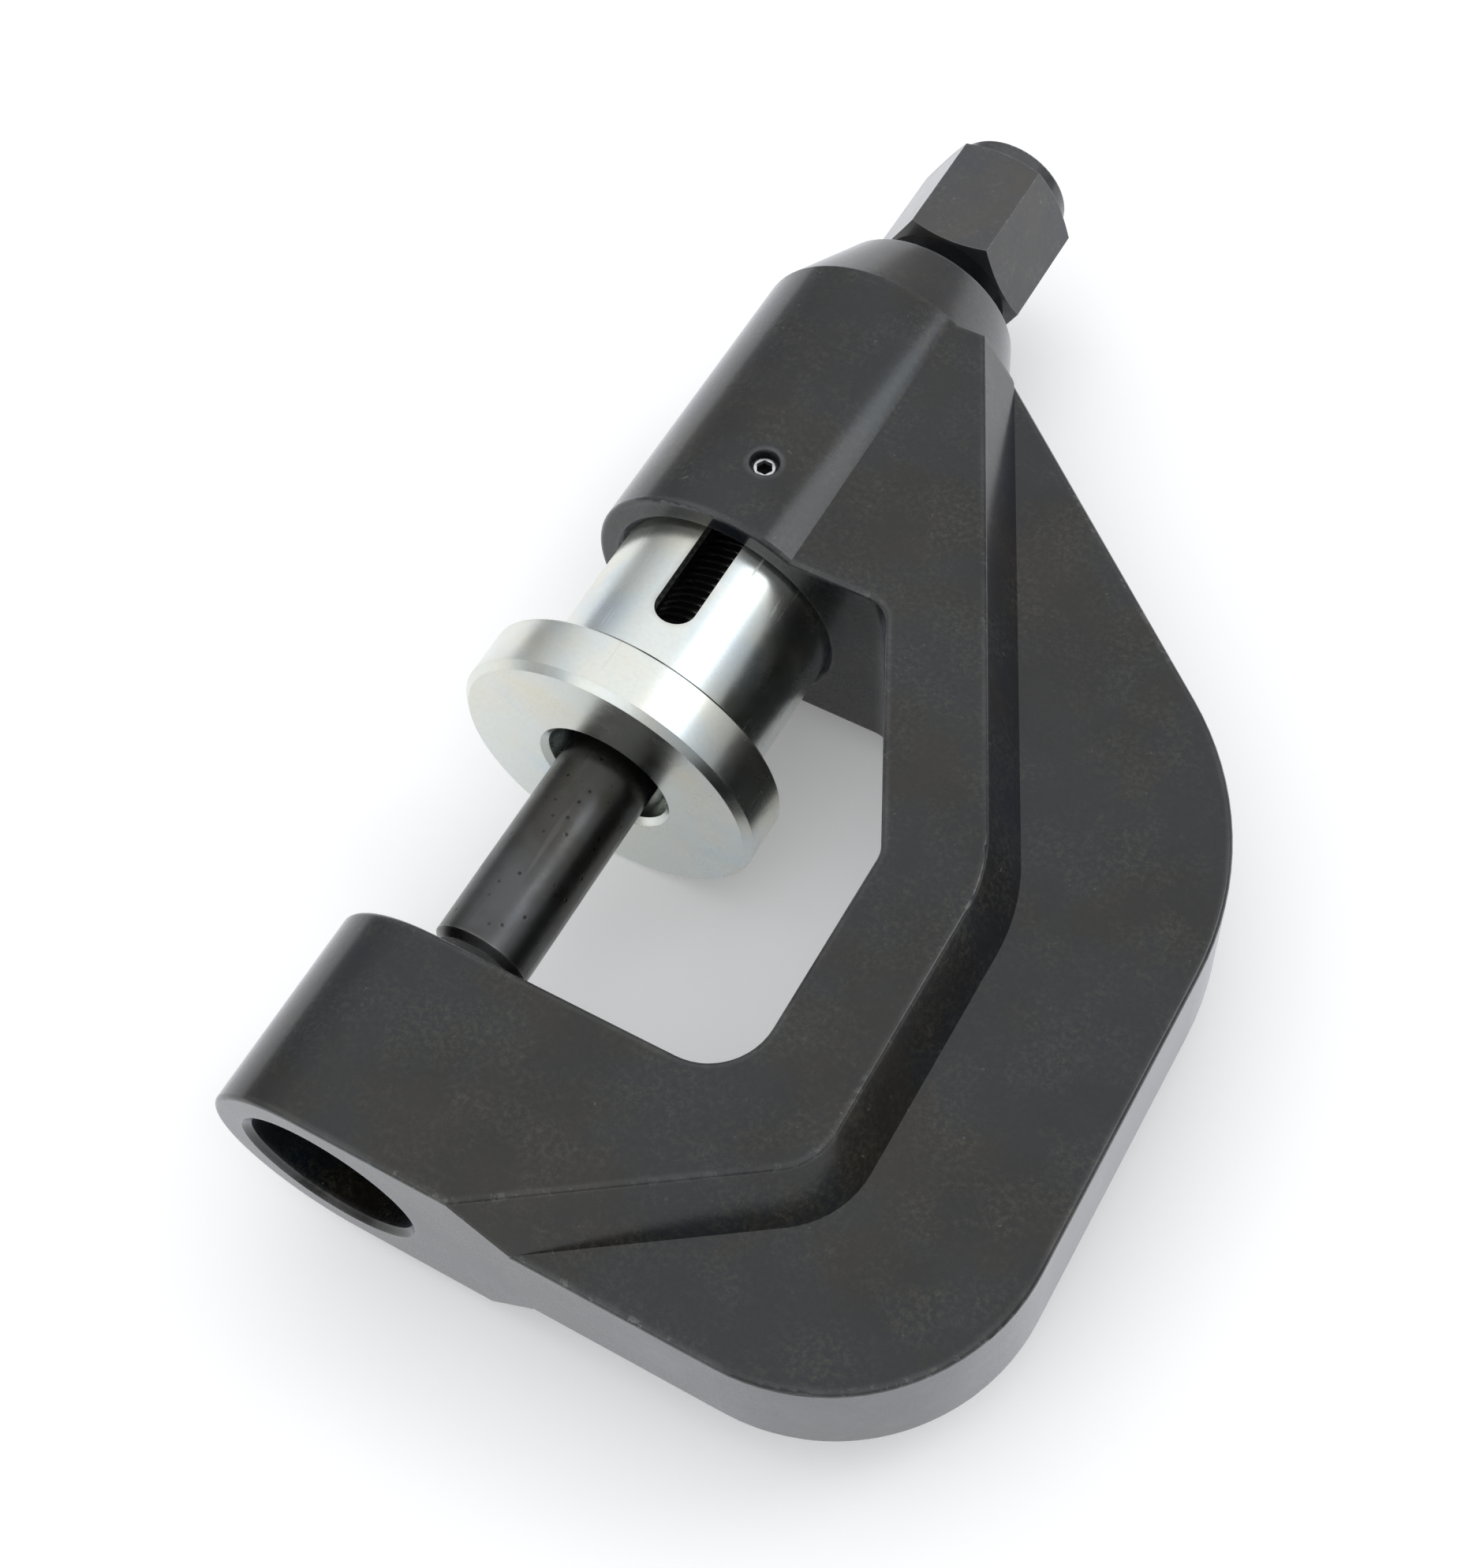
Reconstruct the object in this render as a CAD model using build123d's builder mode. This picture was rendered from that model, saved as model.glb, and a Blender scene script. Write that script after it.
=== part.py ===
from build123d import *
import os
from math import radians, tan

# Hand-held C-frame screw press.  Millimetres.
# The tool lies on its broad side: +Z up is the front cheek's normal, +Y runs along
# the press axis from the anvil boss to the hex head, +X runs from the press axis to
# the back of the C.  The origin is on the press axis, in the anvil face.

os.makedirs("parts", exist_ok=True)

# ---------------------------------------------------------------- driving dimensions

# frame, along the press axis
throat_height = 81.0          # anvil face to the head boss's lower face
anvil_boss_height = 34.0
head_thread_length = 21.2     # threaded length at the top of the head
head_cone_height = 15.0
# frame, across the press axis
throat_depth = 51.0           # press axis to the throat's straight wall
band_width = 15.5             # thick band beside the throat's straight wall
web_width = 32.5              # thick band's edge to the back of the web
web_thickness = 22.0
head_boss_wall = 4.7          # round the sleeve
head_cone_wall = 8.45         # round the spindle's thread, at the cone's top
anvil_bore_diameter = 28.0
anvil_wall = 6.0              # round the anvil bore; the cheeks are as thick as the boss is wide
# frame, angles and radii of the outline
throat_lean = 27.3            # leaning throat wall, from the press axis
shoulder_lean = 50.5          # web's upper outer wall, from the press axis
heel_slope = 34.5             # band's lower edge, from the X direction
step_draft = 30.0             # sloped step between the cheek and the web
shoulder_land = 0.75          # head boss's side to the top of the web's leaning wall
throat_straight = 42.0        # anvil face to the top of the throat's straight wall
throat_top_radius = 4.5
throat_knee_radius = 5.0
throat_floor_radius = 10.0
band_knee_radius = 29.0
band_heel_radius = 10.0
back_shoulder_radius = 56.0
back_heel_radius = 33.0
edge_radius = 0.8             # broken edges of the forging
bore_chamfer = 1.0

# sleeve
sleeve_diameter = 39.0
sleeve_wall = 2.5
sleeve_length = 60.0          # pressing face to upper end
flange_width = 7.25           # flange beyond the sleeve's side
flange_thickness = 10.0
flange_reach = 28.0           # head boss's lower face to the flange's back, at full reach
flange_stop_gap = 0.5         # left between them when the sleeve is right back
flange_rim_chamfer = 1.2
flange_back_chamfer = 0.5
flange_root_radius = 1.0
sleeve_end_chamfer = 0.6

# key screw and the slot it rides in
key_diameter = 5.0
key_length = 5.2
key_sink = 1.4                # outer end below the boss's surface
key_height = 13.0             # head boss's lower face to the key's axis
key_angle = 5.0               # round the press axis, from +Z towards +X
key_socket = 2.5              # across flats
key_socket_depth = 2.2
key_lead_chamfer = 0.75
slot_clearance = 0.95         # key to slot, each side

# friction ring round the sleeve's upper end
ring_section = 1.5
ring_squeeze = 0.25           # how far the groove is shallower than the ring
ring_from_end = 2.4           # sleeve's upper end to the ring's middle

# spindle
thread_diameter = 18.0
hex_across_flats = 25.4
hex_height = 23.5
hex_gap = 7.0                 # cone's top to the hex's lower face
hex_turn = 3.7                # flats round the press axis, from square to the broad side
hex_chamfer_angle = 30.0
hex_face_inset = 0.4          # chamfer's circle inside the flats
collar_inset = 0.9            # round collar above the hex, inside the chamfer's circle
collar_height = 3.8
collar_edge_radius = 0.6
neck_relief = 1.2             # neck below the thread's crests
neck_height = 3.5
spindle_end_gap = 5.0         # flange's back to the spindle's lower end
spindle_chamfer = 1.2

# thrust pin, its ball and its wire ring
pin_diameter = 16.0
pin_side_gap = 3.0            # pin to the flange's bore
pin_nose_gap = 5.5            # anvil face to the pin's nose
pin_nose_chamfer = 1.2
pin_shoulder_gap = 0.5        # pin's shoulder to the spindle's end
shank_diameter = 9.0
shank_length = 22.0
ball_diameter = 8.0
wire_diameter = 1.2
wire_height = 8.0             # spindle's lower end to the wire ring's middle

# clearances
running_clearance = 0.05      # radial, turning and sliding fits
tapped_clearance = 0.02       # radial, a screw in its own hole
side_clearance = 0.3          # between faces that pass or face each other

overrun = 30.0                # outlines carried past the faces that trim them
pick_tolerance = 0.001        # for choosing edges by where they lie

# ---------------------------------------------------------------- worked out from them

sleeve_radius = sleeve_diameter / 2
sleeve_bore_radius = sleeve_radius + running_clearance
sleeve_travel = flange_reach - flange_stop_gap
thread_bore_radius = thread_diameter / 2 + running_clearance
anvil_bore_radius = anvil_bore_diameter / 2
flange_radius = sleeve_radius + flange_width
flange_bore_radius = pin_diameter / 2 + pin_side_gap

# places along the press axis
anvil_bottom = -anvil_boss_height
head_bottom = throat_height
flange_top = head_bottom - flange_reach
flange_height = flange_top - flange_thickness
sleeve_top = flange_height + sleeve_length
counterbore_top = sleeve_top + sleeve_travel + side_clearance
cone_top = counterbore_top + head_thread_length
head_top = cone_top - head_cone_height
hex_bottom = cone_top + hex_gap
hex_top = hex_bottom + hex_height
spindle_end = flange_top + spindle_end_gap

# frame
cheek = anvil_bore_radius + anvil_wall
web = web_thickness / 2
step_depth = cheek - web
step_width = step_depth * tan(radians(step_draft))
band_edge = throat_depth + band_width
back_reach = band_edge + web_width
head_radius = sleeve_bore_radius + head_boss_wall
cone_top_radius = thread_bore_radius + head_cone_wall
shoulder_start = head_radius + shoulder_land

# key screw, slot and friction ring
slot_width = key_diameter + 2 * slot_clearance
key_y = head_bottom + key_height
slot_low = key_y - sleeve_travel - side_clearance
groove_y = sleeve_top - ring_from_end
groove_radius = sleeve_radius - ring_section + ring_squeeze

# spindle, pin, ball and wire ring
neck_radius = thread_diameter / 2 - neck_relief
hex_corner_radius = hex_across_flats / 3 ** 0.5
hex_chamfer_radius = hex_across_flats / 2 - hex_face_inset
collar_radius = hex_chamfer_radius - collar_inset
hex_chamfer_drop = (hex_corner_radius - hex_chamfer_radius) * tan(radians(hex_chamfer_angle))
socket_radius = shank_diameter / 2 + running_clearance
shank_foot = spindle_end - pin_shoulder_gap
shank_top = shank_foot + shank_length
socket_top = shank_top + ball_diameter + running_clearance
wire_y = spindle_end + wire_height
wire_groove_radius = shank_diameter / 2 - wire_diameter / 2 - side_clearance

# corners of the frame's outline
lean = tan(radians(throat_lean))
slope = tan(radians(heel_slope))
throat_top_x = throat_depth - (throat_height - throat_straight) * lean
band_knee_y = throat_straight + band_width * tan(radians(throat_lean / 2))
band_heel_y = anvil_bottom + (band_edge - head_radius) * slope
back_shoulder_y = head_top - (back_reach - shoulder_start) / tan(radians(shoulder_lean))


def level(y):
    """Plane square to the press axis at the height y."""
    return Plane(origin=(0, y, 0), x_dir=(1, 0, 0), z_dir=(0, 1, 0))


def key_plane(radius):
    """Plane square to the key screw's axis, at this distance from the press axis."""
    turned = Plane.XY.rotated((0, key_angle, 0))
    return Plane(origin=turned.z_dir * radius + Vector(0, key_y, 0), x_dir=turned.x_dir, z_dir=turned.z_dir)


def round_corner(x, y, radius):
    """Fillet the corner of the sketch in hand that is nearest to this point."""
    fillet(vertices().sort_by_distance((x, y, 0))[0], radius)


def rim_edges(shape, height):
    """Edges that lie flat at this height, but for the one along the press axis, which the bosses cover."""
    flat = [e for e in shape.edges() if all(abs((e @ t).Z - height) < pick_tolerance for t in (0, 0.5, 1))]
    return [e for e in flat if (e @ 0.5).X > pick_tolerance]


# ---------------------------------------------------------------- c_frame

# thick band: its outline grows by the step's draft on the way down to the web
with BuildPart() as band:
    with BuildSketch(Plane.XY) as band_foot:
        with BuildLine():
            Polyline(
                (-overrun, head_top + overrun),
                (band_edge - (head_top + overrun - band_knee_y) * lean, head_top + overrun),
                (band_edge, band_knee_y),
                (band_edge, band_heel_y),
                (band_edge - (band_heel_y - anvil_bottom + overrun) / slope, anvil_bottom - overrun),
                (-2 * overrun, anvil_bottom - overrun),
                close=True,
            )
        make_face()
        round_corner(band_edge, band_knee_y, band_knee_radius)
        round_corner(band_edge, band_heel_y, band_heel_radius)
        offset(amount=step_width)
    extrude(amount=web, both=True)
    with BuildSketch(Plane.XY.offset(web)):
        add(band_foot.sketch)
    extrude(amount=step_depth, taper=step_draft)
    with BuildSketch(Plane.XY.offset(-web)):
        add(band_foot.sketch)
    extrude(amount=-step_depth, taper=step_draft)

# web: the whole outline of the C, filled in
with BuildPart() as web_slab:
    with BuildSketch(Plane.XY) as web_outline:
        with BuildLine():
            Polyline(
                (0, head_top),
                (shoulder_start, head_top),
                (back_reach, back_shoulder_y),
                (back_reach, anvil_bottom),
                (0, anvil_bottom),
                close=True,
            )
        make_face()
        round_corner(back_reach, back_shoulder_y, back_shoulder_radius)
        round_corner(back_reach, anvil_bottom, back_heel_radius)
    extrude(amount=web, both=True)
    fillet(rim_edges(web_slab, web) + rim_edges(web_slab, -web), edge_radius)

with BuildPart() as c_frame:
    add(web_outline.sketch)
    extrude(amount=cheek, both=True)
    add(band.part, mode=Mode.INTERSECT)
    add(web_slab.part)

    # throat, open on the side of the press axis
    with BuildSketch(Plane.XY):
        with BuildLine():
            Polyline(
                (-overrun, throat_height),
                (throat_top_x, throat_height),
                (throat_depth, throat_straight),
                (throat_depth, 0),
                (-overrun, 0),
                close=True,
            )
        make_face()
        round_corner(throat_top_x, throat_height, throat_top_radius)
        round_corner(throat_depth, throat_straight, throat_knee_radius)
        round_corner(throat_depth, 0, throat_floor_radius)
    extrude(amount=cheek, both=True, mode=Mode.SUBTRACT)
    for height in (cheek, -cheek):
        fillet(rim_edges(c_frame, height), edge_radius)

    # head boss with its cone, and the anvil boss, which is as wide as the cheeks
    with BuildSketch(Plane.XY):
        with BuildLine():
            Polyline(
                (0, head_bottom),
                (head_radius, head_bottom),
                (head_radius, head_top),
                (cone_top_radius, cone_top),
                (0, cone_top),
                close=True,
            )
        make_face()
        round_corner(head_radius, head_bottom, edge_radius)
        round_corner(cone_top_radius, cone_top, edge_radius)
        with Locations((cheek / 2, anvil_bottom / 2)):
            Rectangle(cheek, anvil_boss_height)
        round_corner(cheek, 0, edge_radius)
        round_corner(cheek, anvil_bottom, edge_radius)
    revolve(axis=Axis.Y)

    # anvil bore, sharp at the anvil face, then the sleeve's counterbore and the spindle's thread
    with BuildSketch(Plane.XY):
        with BuildLine():
            Polyline(
                (0, overrun),
                (anvil_bore_radius, overrun),
                (anvil_bore_radius, anvil_bottom + bore_chamfer),
                (anvil_bore_radius + bore_chamfer + overrun, anvil_bottom - overrun),
                (0, anvil_bottom - overrun),
                close=True,
            )
        make_face()
        with BuildLine():
            Polyline(
                (0, head_bottom),
                (sleeve_bore_radius + bore_chamfer, head_bottom),
                (sleeve_bore_radius, head_bottom + bore_chamfer),
                (sleeve_bore_radius, counterbore_top),
                (thread_bore_radius, counterbore_top),
                (thread_bore_radius, cone_top - bore_chamfer),
                (thread_bore_radius + bore_chamfer, cone_top),
                (0, cone_top),
                close=True,
            )
        make_face()
    revolve(axis=Axis.Y, mode=Mode.SUBTRACT)

    # tapped hole for the key screw
    with BuildSketch(key_plane(sleeve_radius / 2)):
        Circle(key_diameter / 2 + tapped_clearance)
    extrude(amount=head_radius, mode=Mode.SUBTRACT)

c_frame.part.label = "c_frame"
export_step(c_frame.part, "parts/c_frame.step")

# ---------------------------------------------------------------- sleeve

with BuildPart() as sleeve:
    with BuildSketch(Plane.XY):
        with BuildLine():
            Polyline(
                (flange_bore_radius + bore_chamfer, flange_height),
                (flange_radius - flange_rim_chamfer, flange_height),
                (flange_radius, flange_height + flange_rim_chamfer),
                (flange_radius, flange_top - flange_back_chamfer),
                (flange_radius - flange_back_chamfer, flange_top),
                (sleeve_radius, flange_top),
                (sleeve_radius, groove_y - ring_section / 2),
                (groove_radius, groove_y - ring_section / 2),
                (groove_radius, groove_y + ring_section / 2),
                (sleeve_radius, groove_y + ring_section / 2),
                (sleeve_radius, sleeve_top - sleeve_end_chamfer),
                (sleeve_radius - sleeve_end_chamfer, sleeve_top),
                (sleeve_radius - sleeve_wall, sleeve_top),
                (sleeve_radius - sleeve_wall, flange_top),
                (flange_bore_radius, flange_top),
                (flange_bore_radius, flange_height + bore_chamfer),
                close=True,
            )
        make_face()
    revolve(axis=Axis.Y)
    circles = sleeve.edges().filter_by(GeomType.CIRCLE)
    fillet(circles.sort_by_distance((sleeve_radius, flange_top, 0))[0], flange_root_radius)

    # slot for the key screw, through the wall on one side
    with BuildSketch(key_plane(sleeve_radius / 2)):
        with Locations((0, (slot_low - key_y) / 2)):
            SlotCenterToCenter(key_y - slot_low, slot_width, rotation=90)
    extrude(amount=sleeve_radius, mode=Mode.SUBTRACT)

sleeve.part.label = "sleeve"
export_step(sleeve.part, "parts/sleeve.step")

# ---------------------------------------------------------------- friction_ring

with BuildPart() as friction_ring:
    with BuildSketch(Plane.XY):
        with Locations(((groove_radius + sleeve_radius) / 2, groove_y)):
            Ellipse((sleeve_radius - groove_radius) / 2, ring_section / 2 - side_clearance / 2)
    revolve(axis=Axis.Y)

friction_ring.part.label = "friction_ring"
export_step(friction_ring.part, "parts/friction_ring.step")

# ---------------------------------------------------------------- key_screw

with BuildPart() as key_screw:
    with BuildSketch(key_plane(head_radius - key_sink - key_length)):
        Circle(key_diameter / 2)
    extrude(amount=key_length)
    chamfer(key_screw.edges().filter_by(GeomType.CIRCLE).sort_by_distance(key_plane(head_radius).origin)[0],
            key_lead_chamfer)
    with BuildSketch(key_plane(head_radius - key_sink)):
        RegularPolygon(key_socket / 2, 6, major_radius=False)
    extrude(amount=-key_socket_depth, mode=Mode.SUBTRACT)

key_screw.part.label = "key_screw"
export_step(key_screw.part, "parts/key_screw.step")

# ---------------------------------------------------------------- spindle

with BuildPart() as spindle:
    with BuildSketch(level(hex_bottom)):
        RegularPolygon(hex_across_flats / 2, 6, major_radius=False, rotation=hex_turn)
    extrude(amount=hex_height)
    with BuildSketch(Plane.XY):
        with BuildLine():
            Polyline(
                (0, hex_bottom),
                (hex_chamfer_radius, hex_bottom),
                (hex_corner_radius, hex_bottom + hex_chamfer_drop),
                (hex_corner_radius, hex_top - hex_chamfer_drop),
                (hex_chamfer_radius, hex_top),
                (0, hex_top),
                close=True,
            )
        make_face()
    revolve(axis=Axis.Y, mode=Mode.INTERSECT)

    # collar above the hex, neck and thread below it
    with BuildSketch(Plane.XY):
        with Locations((collar_radius / 2, hex_top + collar_height / 2)):
            Rectangle(collar_radius, collar_height)
        round_corner(collar_radius, hex_top + collar_height, collar_edge_radius)
        with BuildLine():
            Polyline(
                (0, spindle_end),
                (thread_diameter / 2 - spindle_chamfer, spindle_end),
                (thread_diameter / 2, spindle_end + spindle_chamfer),
                (thread_diameter / 2, hex_bottom - neck_height),
                (neck_radius, hex_bottom - neck_height + neck_relief),
                (neck_radius, hex_bottom),
                (0, hex_bottom),
                close=True,
            )
        make_face()
    revolve(axis=Axis.Y)

    # socket for the thrust pin's shank, with the wire ring's groove
    with BuildSketch(Plane.XY):
        with BuildLine():
            Polyline(
                (0, spindle_end),
                (socket_radius, spindle_end),
                (socket_radius, wire_y - wire_diameter / 2),
                (socket_radius + wire_diameter / 2, wire_y - wire_diameter / 2),
                (socket_radius + wire_diameter / 2, wire_y + wire_diameter / 2),
                (socket_radius, wire_y + wire_diameter / 2),
                (socket_radius, socket_top),
                (0, socket_top),
                close=True,
            )
        make_face()
    revolve(axis=Axis.Y, mode=Mode.SUBTRACT)

spindle.part.label = "spindle"
export_step(spindle.part, "parts/spindle.step")

# ---------------------------------------------------------------- thrust_pin

with BuildPart() as thrust_pin:
    with BuildSketch(Plane.XY):
        with BuildLine():
            Polyline(
                (0, pin_nose_gap),
                (pin_diameter / 2 - pin_nose_chamfer, pin_nose_gap),
                (pin_diameter / 2, pin_nose_gap + pin_nose_chamfer),
                (pin_diameter / 2, shank_foot),
                (shank_diameter / 2, shank_foot),
                (shank_diameter / 2, wire_y - wire_diameter),
                (wire_groove_radius, wire_y - wire_diameter),
                (wire_groove_radius, wire_y + wire_diameter),
                (shank_diameter / 2, wire_y + wire_diameter),
                (shank_diameter / 2, shank_top),
                (0, shank_top),
                close=True,
            )
        make_face()
    revolve(axis=Axis.Y)

thrust_pin.part.label = "thrust_pin"
export_step(thrust_pin.part, "parts/thrust_pin.step")

# ---------------------------------------------------------------- thrust_ball

with BuildPart() as thrust_ball:
    with Locations((0, shank_top + ball_diameter / 2, 0)):
        Sphere(ball_diameter / 2)

thrust_ball.part.label = "thrust_ball"
export_step(thrust_ball.part, "parts/thrust_ball.step")

# ---------------------------------------------------------------- wire_ring

with BuildPart() as wire_ring:
    with BuildSketch(Plane.XY):
        with Locations((socket_radius, wire_y)):
            Circle(wire_diameter / 2 - tapped_clearance)
    revolve(axis=Axis.Y)

wire_ring.part.label = "wire_ring"
export_step(wire_ring.part, "parts/wire_ring.step")
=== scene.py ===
import math

import bmesh
import bpy
from bpy.props import FloatProperty, FloatVectorProperty, IntProperty, PointerProperty
from mathutils import Matrix, Vector


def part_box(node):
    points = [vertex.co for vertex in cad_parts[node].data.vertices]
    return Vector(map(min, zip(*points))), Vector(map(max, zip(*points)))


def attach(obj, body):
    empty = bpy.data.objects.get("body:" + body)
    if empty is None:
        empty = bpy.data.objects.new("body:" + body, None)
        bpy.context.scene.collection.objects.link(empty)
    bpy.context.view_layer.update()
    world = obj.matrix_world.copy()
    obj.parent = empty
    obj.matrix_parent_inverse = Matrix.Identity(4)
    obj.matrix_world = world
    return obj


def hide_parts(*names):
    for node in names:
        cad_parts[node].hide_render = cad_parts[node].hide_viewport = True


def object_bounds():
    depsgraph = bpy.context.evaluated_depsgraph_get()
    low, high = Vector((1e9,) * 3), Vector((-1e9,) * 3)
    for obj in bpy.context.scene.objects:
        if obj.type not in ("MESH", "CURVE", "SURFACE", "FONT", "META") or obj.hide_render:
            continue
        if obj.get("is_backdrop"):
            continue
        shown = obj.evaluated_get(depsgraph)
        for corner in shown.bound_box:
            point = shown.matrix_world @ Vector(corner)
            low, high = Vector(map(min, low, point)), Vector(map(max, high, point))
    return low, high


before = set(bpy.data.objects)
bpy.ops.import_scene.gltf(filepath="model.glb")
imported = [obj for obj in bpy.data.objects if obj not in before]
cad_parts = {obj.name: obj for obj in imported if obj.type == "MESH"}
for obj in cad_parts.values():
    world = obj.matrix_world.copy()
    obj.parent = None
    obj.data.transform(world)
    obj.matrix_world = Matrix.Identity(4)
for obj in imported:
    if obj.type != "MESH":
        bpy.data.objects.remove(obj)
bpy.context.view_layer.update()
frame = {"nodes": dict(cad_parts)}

bl_info = {
    "name": "C-Frame Screw Press",
    "version": (1, 0, 0),
    "blender": (4, 5, 0),
    "location": "View3D > Sidebar > Press",
    "description": "Finishes a hand-held C-frame screw press: threads, black oxide, zinc plate and stage",
    "category": "Object",
}

MM = 0.001
# scratch attribute that carries the CAD's normals through a bmesh
KEPT_NORMALS = "kept_normals"
# sockets of the Mix node that hold colours
MIX_COLOURS, MIX_RESULT = (6, 7), 2
# span that holds most of a noise's values
MOST = (0.3, 0.7)
# where a pattern is read from, so that no two patterns of one finish line up
COOL_PLACE = (0.31, 0.17, 0.05)
PATCH_PLACE = (0.11, 0.43, 0.29)
SPECK_PLACE = (0.07, 0.02, 0.13)
PLATE_PLACE = (0.2, 0.1, 0.4)
# film of oil on black oxide, which gives nearly all of its shine, and the oxide's violet sheen
OIL_FILM = {"Specular_IOR_Level": 0.05, "Coat_Weight": 0.9, "Coat_Roughness": 0.16, "Coat_IOR": 1.5}
VIOLET_SHEEN = {"Sheen_Weight": 0.10, "Sheen_Roughness": 0.35, "Sheen_Tint": (0.66, 0.66, 1.0)}
# darkest and palest of each plain inner piece
HARDENED_STEEL = ((0.52, 0.52, 0.52), (0.60, 0.60, 0.59))
RUBBER = ((0.016, 0.016, 0.017), (0.030, 0.029, 0.028))
# thread's form, as shares of the pitch's triangle wave: flat root, then flank, then flat crest
THREAD_ROOT, THREAD_FLANK = 0.14, 0.70
THREAD_SHARP_ANGLE = math.radians(70)
BARREL_MARGIN = 0.05 * MM
DOUBLES_MARGIN = 0.001 * MM
SENSOR_WIDTH = 36.0
CLIP_START = 10 * MM
# name, place from the middle of the press in metres, side in metres and power in watts
SOFTBOXES = (
    ("softbox_back", (0.62, 0.58, 0.95), 0.45, 1.6),
    ("softbox_front", (-0.35, -1.10, 0.60), 0.8, 1.4),
)


# ---------------------------------------------------------------- sizes and colours


class FrameProperties(bpy.types.PropertyGroup):
    """Finish of the forged C-frame."""

    oxide: FloatVectorProperty(
        name="Oxide", description="Black oxide on the forging", subtype="COLOR", size=3,
        default=(0.0035, 0.0035, 0.0034), min=0, max=1)
    brown: FloatVectorProperty(
        name="Brown Cast", description="Brown cast of thin oxide and old oil", subtype="COLOR", size=3,
        default=(0.0105, 0.0085, 0.0050), min=0, max=1)
    blue: FloatVectorProperty(
        name="Blue Cast", description="Blue cast of thicker oxide", subtype="COLOR", size=3,
        default=(0.0050, 0.0085, 0.0115), min=0, max=1)
    sand: FloatVectorProperty(
        name="Sand", description="Grit-blasted grain that shows through the oxide", subtype="COLOR", size=3,
        default=(0.044, 0.041, 0.029), min=0, max=1)
    worn: FloatVectorProperty(
        name="Worn Steel", description="Bare steel where the edges have worn", subtype="COLOR", size=3,
        default=(0.34, 0.34, 0.34), min=0, max=1)
    edge: FloatProperty(
        name="Worn Edge", description="How far wear reaches in from an edge", subtype="DISTANCE",
        default=1.1 * MM, min=0)
    roughness: FloatProperty(
        name="Roughness", description="Mean roughness of the oxide", subtype="FACTOR",
        default=0.42, min=0, max=1)


class SpindleProperties(bpy.types.PropertyGroup):
    """Thread and finish of the hex-headed spindle."""

    major_radius: FloatProperty(
        name="Thread Radius", description="Radius over the thread's crests", subtype="DISTANCE",
        default=9.0 * MM, min=0)
    pitch: FloatProperty(
        name="Pitch", description="Advance of the thread in one turn", subtype="DISTANCE",
        default=1.5 * MM, min=0)
    depth: FloatProperty(
        name="Thread Depth", description="Crest to root of the thread", subtype="DISTANCE",
        default=0.9 * MM, min=0)
    end_chamfer: FloatProperty(
        name="End Chamfer", description="Chamfer at the spindle's lower end", subtype="DISTANCE",
        default=1.2 * MM, min=0)
    head_length: FloatProperty(
        name="Head Length", description="Collar, hexagon and neck above the thread", subtype="DISTANCE",
        default=30.8 * MM, min=0)
    rings: IntProperty(
        name="Rings", description="Rings of the mesh in one turn of the thread", default=14, min=4)
    sides: IntProperty(
        name="Sides", description="Sides of the mesh round the thread", default=64, min=8)
    colour: FloatVectorProperty(
        name="Oxide", description="Smooth grey-black oxide on the turned spindle", subtype="COLOR", size=3,
        default=(0.050, 0.050, 0.052), min=0, max=1)
    brown: FloatVectorProperty(
        name="Brown Cast", description="Brown cast of thin oxide", subtype="COLOR", size=3,
        default=(0.062, 0.058, 0.050), min=0, max=1)
    blue: FloatVectorProperty(
        name="Blue Cast", description="Blue cast of thicker oxide", subtype="COLOR", size=3,
        default=(0.042, 0.047, 0.054), min=0, max=1)
    sand: FloatVectorProperty(
        name="Grain", description="Fine grain of the turned steel", subtype="COLOR", size=3,
        default=(0.090, 0.088, 0.084), min=0, max=1)
    worn: FloatVectorProperty(
        name="Worn Steel", description="Bare steel on the hexagon's edges", subtype="COLOR", size=3,
        default=(0.36, 0.36, 0.37), min=0, max=1)
    edge: FloatProperty(
        name="Worn Edge", description="How far wear reaches in from an edge", subtype="DISTANCE",
        default=0.35 * MM, min=0)
    roughness: FloatProperty(
        name="Roughness", description="Mean roughness of the head", subtype="FACTOR",
        default=0.38, min=0, max=1)
    # oxide down in the thread, lightened well above the head's oxide as painted light, so that the thread
    # shows bright in its shaded slot
    thread_colour_painted_light: FloatVectorProperty(
        name="Thread Oxide", description="Oiled black oxide down in the thread", subtype="COLOR", size=3,
        default=(0.11, 0.105, 0.105), min=0, max=1)
    # steel on the thread's crests: worn steel, and also a painted highlight along each crest
    thread_crest_wear_and_highlight: FloatVectorProperty(
        name="Thread Crests", description="Steel that shows on the thread's crests", subtype="COLOR", size=3,
        default=(0.62, 0.60, 0.58), min=0, max=1)
    # reach of the crests' wear and of their painted highlight
    thread_edge: FloatProperty(
        name="Thread Wear", description="How far wear reaches in from a crest", subtype="DISTANCE",
        default=0.4 * MM, min=0)
    thread_roughness: FloatProperty(
        name="Thread Roughness", description="Mean roughness of the thread", subtype="FACTOR",
        default=0.26, min=0, max=1)


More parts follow.
